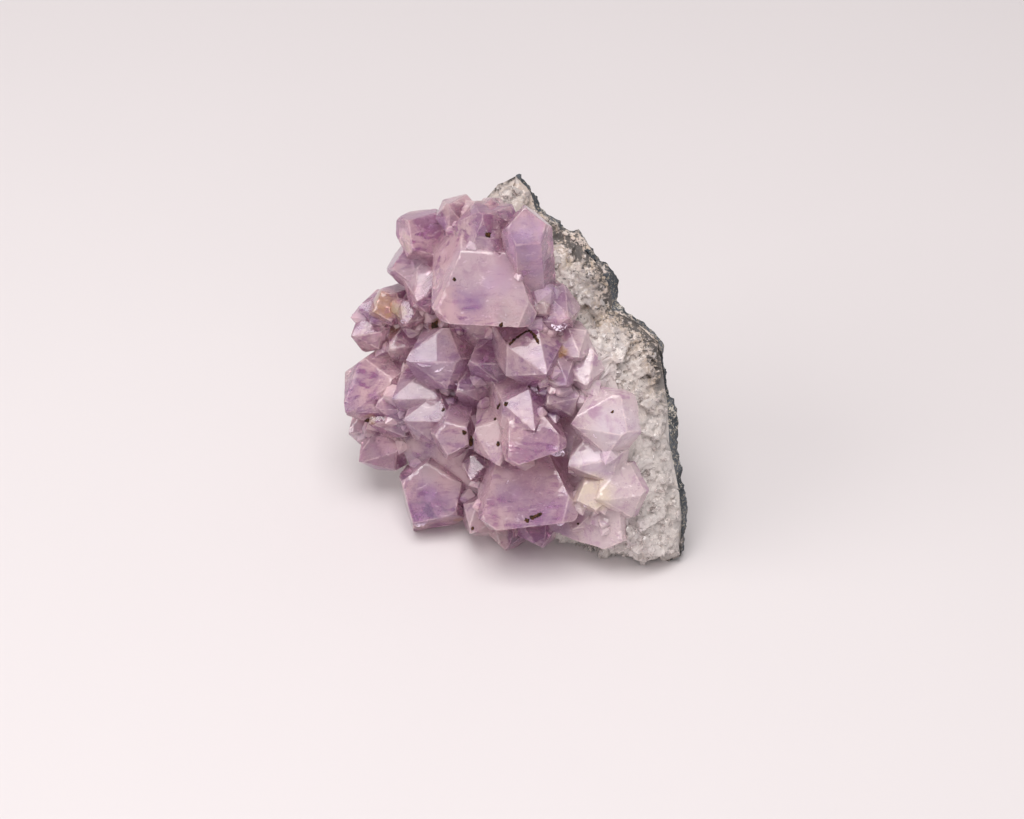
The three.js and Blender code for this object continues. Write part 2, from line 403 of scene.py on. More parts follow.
def amethyst_finish(settings, name, clearness):
    """Cloudy purple quartz: deep at the tips, pale at the roots, stained where iron seeped in; its rims are
    pale, partly from wear and partly painted highlight, and painted shade lies in its valleys and deep
    hollow.
    """
    f = Finish(name)
    from_tip = f.attribute("from_tip")
    tone = f.attribute("tone")
    facet = f.attribute("facet_tone")
    glass = f.attribute("glass")
    rim = f.attribute("rim")
    clouds = f.noise(5.5, 5, 0.6, 0.8)
    wisps = f.noise(2.2, 4, 0.62, 1.6, f.stretched((0.5, 0.6, 0.6), 3.0)).rise(0.50, 0.70)
    streaks = f.noise(1.1, 3, 0.5, 0.2, f.stretched(FACE_UP, 5.0)).rise(0.48, 0.66)
    streaks = streaks * f.noise(9, 2).rise(0.48, 0.6)
    planes = f.add("ShaderNodeSeparateColor", None, {"Color": f.cells(5.0, "Color")}) - 0.5
    depth = from_tip.rise(14, 1) * 0.35 + tone * 0.5 + (clouds - 0.5) * 2.6 + wisps * 0.5 + planes * 0.4
    purple = (depth + streaks * 0.6).rise(0.2, 1.3)
    colour = f.mix(purple, tuple(settings.body_colour), tuple(settings.tip_colour))
    colour = f.mix(f.noise(11, 2).rise(0.45, 0.62) * 0.4, colour, VIOLET)
    # Painted shade: the deep hollow in the middle of the face is darkened towards plum, broken up by the
    # clouds.
    hollow_shade = f.near(face_point(1, 0, 3), 6, 9)
    colour = f.mix(hollow_shade * clouds.rise(0.32, 0.55) * 0.6, colour, PLUM_SHADE)
    # Painted shade: darker towards SHADE where the surface is closed in, in the valleys between the crystals.
    crevice_shade = (f.attribute("crevice_shade") + (clouds - 0.5) * 0.4).rise(0.12, 0.65)
    colour = f.mix(crevice_shade * 0.62, colour, SHADE)
    above_quartz = f.along(GROWTH, FACE_ORIGIN + GROWTH * BACK_PLANE)
    broken_side = (f.along(FACE_RIGHT, FACE_ORIGIN) + (clouds - 0.5) * 8).rise(*BROKEN_SIDE)
    rooted = above_quartz.rise(*ROOT_FADE) * 0.35 * (1 - crevice_shade)
    pale = broken_side + rooted - broken_side * rooted
    colour = f.mix(pale * 0.9, colour, tuple(settings.root_colour))
    colour = f.mix(pale * f.noise(4.0, 4, 0.6, 1.0).rise(0.45, 0.7) * 0.6, colour, tuple(settings.tip_colour))
    ragged = (f.noise(1.6, 4) - 0.5) * 2.4
    mottle = 0.55 + f.noise(1.5, 3, 0.6).rise(0.35, 0.6) * 0.45
    druse = skin_of(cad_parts["amethyst_druse"].data)
    for x, y, radius, strength, tint in TINTS:
        distance = f.distance(seen_at(druse, x, y)[0])
        share = (distance + ragged).rise(radius * 1.3, radius * 0.7) * mottle * strength
        colour = f.mix(share, colour, tint)
    milk = f.noise(1.3, 4, 0.65, 0.5, f.stretched((0.2, 0.9, 0.3), 2.0)).rise(0.58, 0.76)
    colour = f.mix(milk * 0.6, colour, MILK_WHITE)
    grit = f.noise(0.38, 4, 0.8)
    gritty = f.noise(5.0, 3).rise(0.38, 0.6)
    colour = f.mix(grit.rise(0.54, 0.66) * gritty * 0.45, colour, PALE_GRIT)
    colour = f.mix(grit.rise(0.46, 0.36) * gritty * 0.45, colour, DARK_GRIT)
    # Partly wear and partly painted highlight: the crystals' rims are lightened towards a pale peach, in
    # patches.
    rim_wear_and_highlight = rim * f.noise(1.8, 3).rise(0.3, 0.65)
    colour = f.mix(rim_wear_and_highlight * 0.6, colour, WORN_RIM_AND_HIGHLIGHT)
    steps = f.add("ShaderNodeMath", {"operation": "SINE"}, {0: from_tip * 9.0 + clouds * 9.0})
    pits = f.noise(0.5, 2).rise(0.5, 0.8)
    dull = 1 - glass
    rough = 0.02 + dull * (facet.rise(0.45, 1.0) * 0.08 + pits * 0.06 + pale * 0.06)
    waves = steps * facet.rise(0.7, 1.0) * f.noise(4, 2).rise(0.45, 0.6) * 0.3 + f.noise(2.4, 3, 0.5)
    skin = {
        "Base Color": colour,
        "Roughness": rough,
        "Normal": f.bump(dull * (waves + pale * f.noise(1.0, 3) * 2.0), 0.012),
        "IOR": QUARTZ_IOR,
    }
    clear = f.shader({**skin, "Transmission Weight": clearness})
    milky = f.shader({**skin, "Transmission Weight": MILKY})
    milkiness = pale * 0.5 + milk * 0.35 + rim_wear_and_highlight * 0.3
    skins = f.add("ShaderNodeMixShader", None, {0: milkiness, 1: clear, 2: milky})
    return f.surface(skins, ABSORPTION)


BRIGHT_GRAIN = (0.82, 0.735, 0.685)
BUFF = (0.66, 0.52, 0.38)
GLASSY_GREY = (0.40, 0.34, 0.33)
QUARTZ_WHITE = (0.92, 0.86, 0.84)
IRON_TAN = (0.66, 0.50, 0.34)
BLACK_FILM = (0.075, 0.068, 0.068)


def quartz_colours(f, settings):
    """The mottled colour of broken quartz, and a random number for each of its grains."""
    grain = f.add("ShaderNodeSeparateColor", None, {"Color": f.cells(1.5, "Color")})
    clouds = f.noise(6.0, 4, 0.6)
    colour = f.mix(grain, tuple(settings.colour), BRIGHT_GRAIN)
    colour = f.mix(f.noise(3.0, 3).rise(0.5, 0.72) * 0.7, colour, BUFF)
    glassy = (clouds + (grain - 0.5) * 0.35).rise(0.50, 0.62)
    colour = f.mix(glassy * 0.8, colour, GLASSY_GREY)
    white = f.noise(2.0, 4, 0.7).rise(0.58, 0.7)
    colour = f.mix(white * 0.7, colour, QUARTZ_WHITE)
    return colour, grain


def quartz_finish(settings):
    """Broken granular quartz: white and cream grains, clear grey ones, and dark films between them, with
    painted shade in its creases and painted light on its lower part.
    """
    f = Finish("quartz")
    colour, grain = quartz_colours(f, settings)
    height = f.along(GROWTH, FACE_ORIGIN + GROWTH * BACK_PLANE)
    solids = skin_of(*(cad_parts[node].data for node in ("quartz_band", "basalt_rind")))
    clean = f.near(seen_at(solids, -0.5, 33.5)[0], 4, 4)
    near_rind = height.rise(7.5, 2.4) - clean
    patches = (f.noise(4.0, 3) - 0.5) * 0.38
    dirt = (f.noise(0.95, 4, 0.8) + near_rind * 0.18 + patches).rise(0.60, 0.65)
    tan = (f.noise(1.3, 4, 0.75, 0.3) + near_rind * 0.10 - patches * 0.6).rise(0.58, 0.66)
    colour = f.mix(tan * 0.5, colour, IRON_TAN)
    colour = f.mix((height + (f.noise(5.0, 3) - 0.5) * 9).rise(5.0, 9.0) * 0.4, colour, (0.88, 0.82, 0.81))
    # Painted shade: the quartz is darkened towards brown where its surface is closed in, in the creases
    # between the grains.
    crease_shade = (f.attribute("crevice_shade") + (f.noise(1.1, 3) - 0.5) * 0.5).rise(0.25, 0.7)
    colour = f.mix(crease_shade * 0.5, colour, (0.40, 0.32, 0.27))
    colour = f.mix(dirt * 0.88, colour, BLACK_FILM)
    # Painted light: the band is lightened towards a pale pinkish white on its lower part, below the face
    # frame's middle.
    colour = f.mix(f.along(FACE_UP, FACE_ORIGIN).rise(0, -14) * 0.65, colour, (1.0, 0.92, 0.89))
    colour = f.mix(height.rise(9.0, 13.0) * 0.6, colour, (0.80, 0.66, 0.71))
    bump = f.bump(f.noise(0.3, 3, 0.6), 0.05, f.bump(f.cells(0.75), 0.07))
    return f.surface(
        f.shader(
            {
                "Base Color": colour,
                "Roughness": 0.08 + grain * 0.35 + dirt * 0.5,
                "Normal": bump,
                "IOR": QUARTZ_IOR,
                "Transmission Weight": 0.25,
            }
        )
    )


# Where no quartz grains cling to the basalt: x and y in the face frame and the radius, in millimetres.
BARE_BASALT = [
    (18.4, 14.4, 2.6),
    (14.0, 21.0, 1.6),
    (30.5, -4.0, 3.0),
    (31.8, -10.5, 4.0),
    (32.4, -17.0, 4.5),
    (32.8, -24.0, 4.0),
    (32.8, -30.5, 3.0),
]


def grain_finish():
    """Glassy quartz grains, clear to milky."""
    f = Finish("glassy quartz")
    clouds = f.noise(2.5, 3)
    colour = f.mix(clouds.rise(0.4, 0.6), (0.96, 0.89, 0.87), (0.74, 0.66, 0.64))
    rough = 0.06 + f.noise(0.8, 2).rise(0.4, 0.7) * 0.2
    bump = f.bump(f.noise(0.5, 3, 0.6), 0.04)
    return f.surface(
        f.shader(
            {
                "Base Color": colour,
                "Roughness": rough,
                "Normal": bump,
                "IOR": QUARTZ_IOR,
                "Transmission Weight": 0.5,
            }
        )
    )


def basalt_finish(settings):
    """Dark basalt peppered with pale grains, under a skin of dirty quartz grains on its inner side."""
    f = Finish("basalt")
    clouds = f.noise(5.0, 4, 0.6)
    colour = f.mix(clouds.rise(0.35, 0.65), tuple(settings.colour), (0.11, 0.12, 0.14))
    pepper = (f.noise(0.45, 3, 0.7) + (clouds - 0.5) * 0.25).rise(0.54, 0.64)
    colour = f.mix(pepper * 0.8, colour, (0.44, 0.38, 0.30))
    pale = (f.noise(0.8, 3, 0.7) + (f.noise(9, 2) - 0.5) * 0.6).rise(0.60, 0.70)
    colour = f.mix(pale, colour, (0.62, 0.57, 0.50))
    height = f.along(GROWTH, FACE_ORIGIN + GROWTH * BACK_PLANE)
    solids = skin_of(*(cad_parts[node].data for node in ("quartz_band", "basalt_rind")))
    bare = 0.0
    for x, y, radius in BARE_BASALT:
        bare = f.near(seen_at(solids, x, y)[0], radius, radius * 0.8) + bare
    ragged = (f.noise(1.2, 4, 0.7) - 0.5) * 4 + (f.noise(8.0, 2) - 0.5) * 4
    grains = (height + ragged - bare * 3.0).rise(1.3, 2.3)
    dirty, _ = quartz_colours(f, bpy.context.scene.cluster_quartz)
    dirty = f.mix(f.noise(1.2, 4, 0.75, 0.3).rise(0.54, 0.62) * 0.5, dirty, (0.64, 0.50, 0.36))
    dirty = f.mix(f.noise(0.95, 4, 0.8).rise(0.49, 0.54) * 0.9, dirty, (0.06, 0.058, 0.06))
    colour = f.mix(grains, colour, dirty)
    bump = f.bump(f.noise(0.45, 4, 0.75), 0.3)
    return f.surface(f.shader({"Base Color": colour, "Roughness": 0.85 - grains * 0.15, "Normal": bump}))


def iron_finish():
    """Rust-brown and black iron mineral."""
    f = Finish("iron mineral")
    colour = f.mix(f.noise(0.4, 3).rise(0.42, 0.62), (0.014, 0.009, 0.007), (0.10, 0.042, 0.016))
    rough = 0.6 + f.noise(0.2, 2) * 0.3
    return f.surface(f.shader({"Base Color": colour, "Roughness": rough, "Specular IOR Level": 0.15}))


def veil_finish():
    """The crazed, broken skin of a healed crack."""
    f = Finish("healed crack")
    crazed = f.noise(1.0, 5, 0.75, 1.5)
    colour = f.mix(crazed, (0.95, 0.88, 0.92), (0.72, 0.52, 0.74))
    return f.surface(
        f.shader({"Base Color": colour, "Roughness": 0.25 + crazed * 0.3, "Alpha": crazed.rise(0.46, 0.52)})
    )


def floor_finish():
    """A plain sweep of pale paper."""
    f = Finish("pale paper")
    colour = f.mix(f.noise(60, 2), (0.695, 0.656, 0.664), (0.71, 0.67, 0.678))
    return f.surface(f.shader({"Base Color": colour, "Roughness": 0.85}))


# Meshes -----------------------------------------------------------------------------------------------


def welded_copy(node):
    """A copy of a solid's mesh with its corners joined, each flat facet numbered in the layer 'facet'."""
    bm = bmesh.new()
    bm.from_mesh(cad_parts[node].data)
    bmesh.ops.remove_doubles(bm, verts=bm.verts, dist=WELD)
    bmesh.ops.dissolve_degenerate(bm, edges=bm.edges, dist=WELD)
    bmesh.ops.triangulate(bm, faces=[face for face in bm.faces if len(face.verts) > 3])
    number_patches(bm, "facet", lambda edge: edge.calc_face_angle(math.pi) < FLAT)
    return bm


def number_patches(bm, name, joined):
    """Numbers the faces, with one number for all that joined edges connect. Gives each number's faces."""
    layer = bm.faces.layers.int.new(name)
    bm.faces.ensure_lookup_table()
    seen = set()
    patches = []
    for first in bm.faces:
        if first.index in seen:
            continue
        seen.add(first.index)
        patch = [first]
        for face in patch:
            face[layer] = len(patches)
            for edge in face.edges:
                if len(edge.link_faces) != 2 or not joined(edge):
                    continue
                for other in edge.link_faces:
                    if other.index not in seen:
                        seen.add(other.index)
                        patch.append(other)
        patches.append(patch)
    return patches


def even_out(bm):
    """Turns the edges inside each facet so that its triangles are as regular as they can be."""
    facet = bm.faces.layers.int["facet"]
    inner = [
        edge
        for edge in bm.edges
        if len(edge.link_faces) == 2 and edge.link_faces[0][facet] == edge.link_faces[1][facet]
    ]
    bmesh.ops.beautify_fill(bm, faces=bm.faces[:], edges=inner, method="ANGLE")


def cover(*nodes):
    """A test for whether a point lies close against one of the other solids, where nothing shows."""
    skin = skin_of(*(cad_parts[node].data for node in nodes))
    return lambda point: skin.find_nearest(point, COVERED)[0] is not None


# Directions that spread evenly over the upper half of a ball.
OUTWARDS = [
    Vector((math.sin(lean) * math.cos(turn), math.sin(lean) * math.sin(turn), math.cos(lean)))
    for lean, turns, offset in ((0.35, 3, 0.0), (0.8, 5, 0.4), (1.2, 6, 0.9))
    for turn in (offset + math.tau * step / turns for step in range(turns))
]


def middle(edge):
    return (edge.verts[0].co + edge.verts[1].co) / 2


def refine(bm, longest, chosen):
    """Halves the chosen edges until hardly any is longer than longest."""
    for _ in range(REFINING_ROUNDS):
        edges = [edge for edge in bm.edges if edge.calc_length() > longest and chosen(edge)]
        bmesh.ops.subdivide_edges(bm, edges=edges, cuts=1)
        bmesh.ops.triangulate(bm, faces=[face for face in bm.faces if len(face.verts) > 3])
        even_out(bm)


def rim_vertices(bm):
    """The vertices on the edges that stand out between two facets."""
    facet = bm.faces.layers.int["facet"]
    return {
        vert
        for edge in bm.edges
        if len(edge.link_faces) == 2
        and edge.link_faces[0][facet] != edge.link_faces[1][facet]
        and edge.is_convex
        for vert in edge.verts
    }


def smooth(bm, verts, factor, times=1):
    for _ in range(times):
        bmesh.ops.smooth_vert(
            bm, verts=list(verts), factor=factor, use_axis_x=True, use_axis_y=True, use_axis_z=True
        )


def push(bm, height, still=frozenset()):
    """Moves each vertex that isn't still along its normal by height(point), and keeps it above the floor."""
    bm.normal_update()
    moves = [(vert, vert.normal * height(vert.co)) for vert in bm.verts if vert not in still]
    for vert, move in moves:
        vert.co += move
        vert.co.z = max(vert.co.z, LOW.z)


def fractured(point, cell):
    """The height, from -1 to 1 or so, of flat tilted chunks of about cell in width."""
    scaled = point / cell
    centre = noise.voronoi(scaled)[1][0]
    tilt = noise.cell_vector(centre * 7.3) - Vector((0.5, 0.5, 0.5))
    return tilt.dot(scaled - centre) * 1.6 + noise.cell(centre * 5.1) - 0.5


def add_ball(bm, subdivisions, radius, matrix):
    """Adds an icosphere, its radius in millimetres. Gives its vertices."""
    made = bmesh.ops.create_icosphere(bm, subdivisions=subdivisions, radius=radius * MM, matrix=matrix)
    return made["verts"]


def mark_crevice_shade(bm, reach):
    """Stores on each face corner how closed in it is: the share of directions out of it that are blocked. The
    finishes paint shade into their colours from it.
    """
    skin = BVHTree.FromBMesh(bm)
    bm.normal_update()
    layer = bm.loops.layers.float.new("crevice_shade")
    for vert in bm.verts:
        start = vert.co + vert.normal * 0.05 * MM
        turn = vert.normal.to_track_quat("Z", "Y").to_matrix()
        blocked = sum(skin.ray_cast(start, turn @ way, reach)[0] is not None for way in OUTWARDS)
        for loop in vert.link_loops:
            loop[layer] = blocked / len(OUTWARDS)


def make_piece(bm, name, material, sharp=40):
    """Turns a bmesh into a piece of the cluster."""
    mesh = bpy.data.meshes.new(name)
    bm.to_mesh(mesh)
    bm.free()
    mesh.materials.append(material)
    mesh.shade_smooth()
    mesh.set_sharp_from_angle(angle=math.radians(sharp))
    piece = bpy.data.objects.new(name, mesh)
    bpy.context.scene.collection.objects.link(piece)
    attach(piece, "root")
    return piece


# The amethyst -----------------------------------------------------------------------------------------


def crystal_axis(facets):
    """The axis that fits a crystal's facets, given as (normal, area).

    A quartz crystal's end faces all lean equally from its axis and its sides stand along it, so each pair
    of facets allows a few axes, and the one that suits the most area is taken.
    """
    candidates = []
    for (first, _), (second, _) in combinations(facets[:6], 2):
        cross = first.cross(second)
        if cross.length < 0.05:
            continue
        candidates += [cross.normalized(), -cross.normalized()]
        shared = FACET_COSINE / (1 + first.dot(second))
        left = 1 - 2 * shared * FACET_COSINE
        if left > 0:
            rise = math.sqrt(left) / cross.length
            candidates += [shared * (first + second) + sign * rise * cross for sign in (1, -1)]
    if not candidates:
        normal = facets[0][0]
        candidates = [(FACET_COSINE * normal + (GROWTH - GROWTH.dot(normal) * normal)).normalized()]

    def suited(axis):
        ends = sum(area for normal, area in facets if abs(normal.dot(axis) - FACET_COSINE) < 0.02)
        sides = sum(area for normal, area in facets if abs(normal.dot(axis)) < 0.02)
        return ends + sides + 0.01 * axis.dot(GROWTH) * facets[0][1]

    return max(candidates, key=suited)


def mark_crystals(bm):
    """Stores on each face corner its distance from its crystal's tip, and the crystal's and facet's tones."""
    facet = bm.faces.layers.int["facet"]
    tip_layer = bm.loops.layers.float.new("from_tip")
    tone_layer = bm.loops.layers.float.new("tone")
    facet_layer = bm.loops.layers.float.new("facet_tone")
    lowest = {}
    for face in bm.faces:
        top = max(height_above_back(vert.co) for vert in face.verts)
        lowest[face[facet]] = max(lowest.get(face[facet], 0), top)

    def grown(face):
        return lowest[face[facet]] > QUARTZ_TOP and face.normal.z > -0.999

    def same_crystal(edge):
        level = edge.is_convex or edge.calc_face_angle() < FLAT
        return level and all(grown(face) for face in edge.link_faces)

    for patch in number_patches(bm, "crystal", same_crystal):
        areas = {}
        for face in patch:
            normal, area = areas.get(face[facet], (face.normal, 0))
            areas[face[facet]] = (normal, area + face.calc_area())
        axis = crystal_axis(sorted(areas.values(), key=lambda item: -item[1]))
        tip = max(axis.dot(vert.co) for face in patch for vert in face.verts)
        tone = 0.5 + 0.5 * noise.noise(axis * 6.0)
        for face in patch:
            facet_tone = noise.cell(Vector((face[facet] * 1.37, 2.5, 0.5)))
            for loop in face.loops:
                loop[tip_layer] = (tip - axis.dot(loop.vert.co)) / MM
                loop[tone_layer] = tone
                loop[facet_layer] = facet_tone


# The glassy facets, unworn and mirror-flat: x and y in the face frame, in millimetres.
GLASSY_FACETS = [
    (-19.8, -5.4),
    (-17.8, -10.2),
    (-23.0, -7.8),
    (-22.6, -16.2),
    (-15.9, 2.6),
    (2.6, 2.6),
    (1.4, -9.0),
    (-9.0, -22.2),
    (-6.6, -30.2),
]


def glassy_facets(bm):
    """The numbers of the facets that stay mirror-flat."""
    skin = BVHTree.FromBMesh(bm)
    facet = bm.faces.layers.int["facet"]
    bm.faces.ensure_lookup_table()
    return {bm.faces[skin.ray_cast(*sight(x, y))[2]][facet] for x, y in GLASSY_FACETS}


def mark_rims(bm, rims):
    """Marks the corners on the crystals' edges in the layer 'rim'."""
    layer = bm.loops.layers.float.new("rim")
    for vert in rims:
        for loop in vert.link_loops:
            loop[layer] = 1.0


def mark_glassy(bm, glassy):
    """Marks the corners of the mirror-flat facets in the layer 'glass'. Gives those facets' vertices."""
    facet = bm.faces.layers.int["facet"]
    layer = bm.loops.layers.float.new("glass")
    still = set()
    for face in bm.faces:
        if face[facet] in glassy:
            still.update(face.verts)
            for loop in face.loops:
                loop[layer] = 1.0
    return still


def wear(bm, rims):
    """Rounds the crystals' edges a little, more in some places, and chips them here and there."""
    smooth(bm, rims, 0.3)
    worn = [vert for vert in rims if noise.noise(vert.co / (2.2 * MM)) > 0.2]
    smooth(bm, worn, 0.6)
    chipped = [vert for vert in rims if noise.noise(vert.co / (1.4 * MM) + Vector((5, 0, 0))) > 0.38]
    smooth(bm, chipped, 0.9, 4)


class CLUSTER_OT_amethyst(bpy.types.Operator):
    """Grow the large purple points"""

    bl_idname = "cluster.amethyst"
    bl_label = "Amethyst points"

    def execute(self, context):
        settings = context.scene.cluster_amethyst
        bm = welded_copy("amethyst_druse")
        mark_crystals(bm)
        glassy = glassy_facets(bm)
        covered = cover("quartz_band")
        refine(bm, settings.mesh_size, lambda edge: not covered(middle(edge)))
        rims = rim_vertices(bm)
        refine(
            bm, settings.rim_size, lambda edge: not rims.isdisjoint(edge.verts) and not covered(middle(edge))
        )
        rims = rim_vertices(bm)
        mark_rims(bm, rims)
        still = mark_glassy(bm, glassy)
        wear(bm, rims - still)

        def waves(point):
            broken = min(1, max(0, (point.x - 7 * MM) / (6 * MM)))
            swell = noise.noise(point / (3.2 * MM)) + 0.35 * noise.noise(point / (1.1 * MM))
            return settings.relief * swell + broken * 0.1 * MM * fractured(point, 4.0 * MM)

        push(bm, waves, still)
        mark_crevice_shade(bm, 7 * MM)
        piece = make_piece(bm, "amethyst_points", amethyst_finish(settings, "amethyst", 0.65), 17)
        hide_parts("amethyst_druse")
        return {"FINISHED"}


# The quartz and the basalt ----------------------------------------------------------------------------


class CLUSTER_OT_quartz(bpy.types.Operator):
    """Break the quartz band into chunks and grains"""

    bl_idname = "cluster.quartz"
    bl_label = "Quartz band"

    def execute(self, context):
        settings = context.scene.cluster_quartz
        bm = welded_copy("quartz_band")
        covered = cover("amethyst_druse", "basalt_rind")
        refine(bm, settings.mesh_size, lambda edge: not covered(middle(edge)))
        smooth(bm, [vert for vert in rim_vertices(bm) if not covered(vert.co)], 0.8, 3)

        def broken(point):
            if covered(point):
                return 0.45 * MM
            chunks = 0.85 * MM * fractured(point, settings.chunk)
            grains = 0.36 * MM * fractured(point, settings.grain)
            return 0.35 * MM + (chunks + grains) + 0.1 * MM * fractured(point, settings.grain * 0.45)

        push(bm, broken)
        mark_crevice_shade(bm, 2.2 * MM)
        piece = make_piece(bm, "quartz_mass", quartz_finish(settings), 28)
        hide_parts("quartz_band")
        return {"FINISHED"}


# Where the larger glassy lumps sit: x and y in the face frame and the radius, in millimetres.
LUMPS = [
    (22.5, -33.5, 1.9),
    (25.5, -35.5, 2.1),
    (28.6, -35.8, 1.8),
    (21.0, -36.0, 1.6),
    (29.5, -32.0, 1.5),
    (16.2, 1.2, 1.3),
    (20.6, -1.4, 1.4),
    (13.2, 10.2, 1.4),
    (15.8, 6.4, 1.2),
    (24.6, -6.0, 1.5),
    (27.2, -14.6, 1.3),
    (26.4, -21.8, 1.5),
    (8.4, 20.6, 1.3),
    (11.2, 16.0, 1.2),
    (0.6, 34.4, 1.5),
    (-1.8, 32.6, 1.3),
]


class CLUSTER_OT_grains(bpy.types.Operator):
    """Strew glassy grains over the quartz band's open side"""

    bl_idname = "cluster.grains"
    bl_label = "Quartz grains"

    def execute(self, context):
        rng = random.Random(31)
        bm = bmesh.new()
        band = bmesh.new()
        band.from_mesh(bpy.data.objects["quartz_mass"].data)
        skin = skin_of(bpy.data.objects["quartz_mass"].data)
        covered = cover("amethyst_druse", "basalt_rind")

        def is_open(place):
            return height_above_back(place) > 4 * MM and not covered(place)

        open_side = [face for face in band.faces if is_open(face.calc_center_median())]
        areas = [face.calc_area() for face in open_side]
        places = [
            (face.calc_center_median(), face.normal.copy(), rng.triangular(0.35, 1.1, 0.5))
            for face in rng.choices(open_side, areas, k=context.scene.cluster_quartz.grains)
        ]
        places += [(*seen_at(skin, x, y), radius) for x, y, radius in LUMPS]
        for place, normal, radius in places:
            shape = Matrix.Diagonal((rng.uniform(0.7, 1.2), rng.uniform(0.7, 1.2), rng.uniform(0.6, 1.0), 1))
            centre = place - normal * 0.25 * radius * MM
            matrix = Matrix.Translation(centre) @ turn_to(normal, rng.uniform(0, math.tau)) @ shape
            detail = 3 if radius > 1.15 else 1
            for vert in add_ball(bm, detail, radius, matrix):
                vert.co += (vert.co - centre) * 0.45 * fractured(vert.co, 0.9 * radius * MM)
                vert.co.z = max(vert.co.z, LOW.z)
        band.free()
        make_piece(bm, "quartz_grains", grain_finish(), 25)
        return {"FINISHED"}


class CLUSTER_OT_basalt(bpy.types.Operator):
    """Roughen the basalt rind"""

    bl_idname = "cluster.basalt"
    bl_label = "Basalt rind"

    def execute(self, context):
        settings = context.scene.cluster_basalt
        bm = welded_copy("basalt_rind")
        covered = cover("quartz_band")
        refine(bm, settings.mesh_size, lambda edge: not covered(middle(edge)))
        smooth(bm, [vert for vert in rim_vertices(bm) if not covered(vert.co)], 0.8, 2)

        def crumbly(point):
            if covered(point):
                return 0.2 * MM
            lumps = 0.9 * MM * noise.noise(point / (9 * MM)) + 0.6 * MM * fractured(point, 4.5 * MM)
            crumbs = 0.45 * MM * noise.noise(point / (1.6 * MM))
            return lumps + crumbs + 0.25 * MM * noise.noise(point / (0.8 * MM))

        push(bm, crumbly)
        piece = make_piece(bm, "basalt_crust", basalt_finish(settings), 40)
        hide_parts("basalt_rind")
        return {"FINISHED"}


# Small growth, flecks and healed cracks ---------------------------------------------------------------

# Iron flecks: x and y in the face frame and the radius, in millimetres.
FLECKS = [
    (-5.4, 26.1, 0.55),
    (-15.9, 8.2, 0.85),
    (-2.7, 8.1, 0.6),
    (-12.2, 17.2, 0.35),
    (2.9, -4.4, 0.45),
    (-1.8, -7.8, 0.5),
    (-8.9, -15.4, 0.95),
    (-10.2, -13.5, 0.55),
    (-9.7, -16.6, 0.4),
    (-14.4, -9.0, 0.4),
    (-29.2, -11.0, 0.85),
    (-3.4, -15.8, 0.45),
    (-4.0, -10.8, 0.4),
    (2.4, -31.1, 0.4),
    (-8.5, -32.7, 0.4),
    (12.6, -31.8, 0.35),
    (19.5, -9.4, 0.35),
]
# Seams of dark mineral along the crystals' edges: points in the face frame, in millimetres.
SEAMS = [
    [(-1.0, 4.2), (-0.2, 5.0), (0.9, 5.9), (2.0, 6.6), (2.9, 6.9), (3.8, 6.0), (4.4, 5.1), (4.8, 4.1)],
    [(3.4, -30.6), (4.0, -30.4), (4.6, -30.1), (5.2, -29.8)],
    [(-3.5, -8.6), (-3.2, -8.1), (-2.9, -7.7)],
]


def turn_to(direction, spin=0.0):
    """A rotation that stands +Z along a direction."""
    return direction.to_track_quat("Z", "Y").to_matrix().to_4x4() @ Matrix.Rotation(spin, 4, "Z")


def add_fleck(bm, place, normal, radius, rng):
    """A lumpy flat grain, half sunk in the surface."""
    flat = Matrix.Diagonal((rng.uniform(0.7, 1.2), rng.uniform(0.7, 1.2), 0.35, 1))
    matrix = Matrix.Translation(place) @ turn_to(normal, rng.uniform(0, math.tau)) @ flat
    for vert in add_ball(bm, 2, radius, matrix):
        vert.co += (vert.co - place) * 0.9 * noise.noise(vert.co / (0.45 * radius * MM))


class CLUSTER_OT_iron(bpy.types.Operator):
    """Set iron flecks and dark seams on the crystals"""

    bl_idname = "cluster.iron"
    bl_label = "Iron flecks"

    def execute(self, context):
        rng = random.Random(5)
        skin = skin_of(*(bpy.data.objects[name].data for name in ("amethyst_points", "quartz_mass")))
        bm = bmesh.new()
        for x, y, radius in FLECKS:
            place, normal = seen_at(skin, x, y)
            add_fleck(bm, place, normal, radius, rng)
        for seam in SEAMS:
            for (x0, y0), (x1, y1) in zip(seam, seam[1:]):
                for share in (0.0, 0.35, 0.7):
                    place, normal = seen_at(skin, x0 + (x1 - x0) * share, y0 + (y1 - y0) * share)
                    add_fleck(bm, place, normal, rng.uniform(0.2, 0.42), rng)
        make_piece(bm, "iron_flecks", iron_finish())
        return {"FINISHED"}


def add_point(bm, root, axis, radius, length, rng):
    """A small six-sided prism under a six-sided pyramid, rooted below the surface."""
    stand = Matrix.Translation(root) @ turn_to(axis, rng.uniform(0, math.tau))
    prism = (0, 0.85, 1.0, length)
    pyramid = (length, 1.0, 0.0, radius * rng.uniform(1.0, 1.25))
    for bottom, base, top, height in (prism, pyramid):
        bmesh.ops.create_cone(
            bm,
            cap_ends=True,
            cap_tris=True,
            segments=6,
            radius1=radius * base,
            radius2=radius * top,
            depth=height,
            matrix=stand @ Matrix.Translation((0, 0, bottom + height / 2)),
        )


